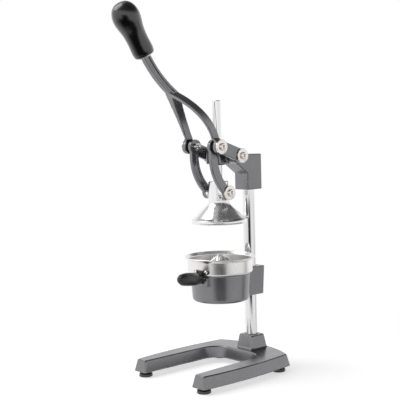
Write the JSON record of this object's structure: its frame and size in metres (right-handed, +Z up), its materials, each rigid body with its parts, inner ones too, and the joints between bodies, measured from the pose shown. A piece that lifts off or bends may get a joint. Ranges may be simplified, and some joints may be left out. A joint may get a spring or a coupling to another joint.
{
  "type": "lever citrus juice press",
  "caption": "Lever citrus press: U-shaped cast base, chrome column, forked lever with curved links that drives a pressing bell over a reamer, strainer and lift-out juice bowl.",
  "frame": {"origin": "bottom centre of the bounding box, on the surface that the rubber feet stand on", "axes": "+Z up along the column, +X to the right of a user who stands in front, -Y towards the user, on the lever side"},
  "size_m": [0.1824, 0.2981, 0.5967],
  "materials": {
    "cast_paint": "satin mid grey stoved enamel",
    "chrome": "polished chrome plate",
    "nickel": "bright nickel plate",
    "dark_steel": "blackened steel",
    "polished_aluminium": "polished",
    "stainless": "polished stainless sheet",
    "bronze": "turned bearing bronze",
    "black_rubber": "moulded, satin",
    "black_enamel": "satin black",
    "black_plastic": "polished moulding"
  },
  "bodies": {
    "frame": {"base_casting": "cast_paint", "rubber_feet": "black_rubber", "foot_screws": "nickel", "column": "chrome", "column_bolt": "dark_steel", "head_casting": "cast_paint", "head_set_screws": "dark_steel", "rod_guide_bush": "bronze", "head_pivot_screws": "nickel", "head_pivot_washers": "nickel", "cup_holder": "cast_paint", "holder_set_screw": "dark_steel"},
    "lever": {"lever_casting": "cast_paint", "grip": "black_rubber", "grip_collar": "nickel", "crank_bolts": "nickel", "crank_washers": "nickel", "crank_spacers": "dark_steel", "crank_nuts": "nickel"},
    "links": {"right_link": "cast_paint", "left_link": "cast_paint", "link_foot_screws": "nickel", "link_foot_washers": "nickel"},
    "plunger": {"pressing_bell": "polished_aluminium", "plunger_rod": "chrome", "rod_lock_screw": "dark_steel"},
    "bowl": {"juice_bowl": "stainless", "handle_strap": "black_enamel", "strap_rivets": "stainless", "handle_screw": "stainless", "handle_knob": "black_plastic"},
    "strainer": {"strainer": "stainless"},
    "reamer": {"reamer": "polished_aluminium"}
  },
  "joints": [
    {"name": "lever_pivot", "type": "hinge", "parent": "frame", "child": "lever", "pos_m": [0, 0.06918, 0.3591], "axis": [1, 0, 0], "range_deg": [0, 60]},
    {"name": "link_swing", "type": "hinge", "parent": "lever", "child": "links", "pos_m": [0, 0.02337, 0.3749], "axis": [1, 0, 0], "range_deg": [-64.13, 0]},
    {"name": "plunger_slide", "type": "slide", "parent": "frame", "child": "plunger", "axis": [0, 0, -1], "range_m": [0, 0.0505]},
    {"name": "bowl_lift", "type": "slide", "parent": "frame", "child": "bowl", "axis": [0, 0, -1], "range_m": [-0.01, 0]},
    {"name": "strainer_lift", "type": "slide", "parent": "bowl", "child": "strainer", "axis": [0, 0, -1], "range_m": [-0.004, 0]},
    {"name": "reamer_lift", "type": "slide", "parent": "strainer", "child": "reamer", "axis": [0, 0, -1], "range_m": [-0.005, 0]}
  ],
  "couplings": [
    {"joint": "link_swing", "follows": "lever_pivot", "ratio": -1.0605},
    {"joint": "plunger_slide", "follows": "lever_pivot", "m_per_rad": 0.04785}
  ]
}
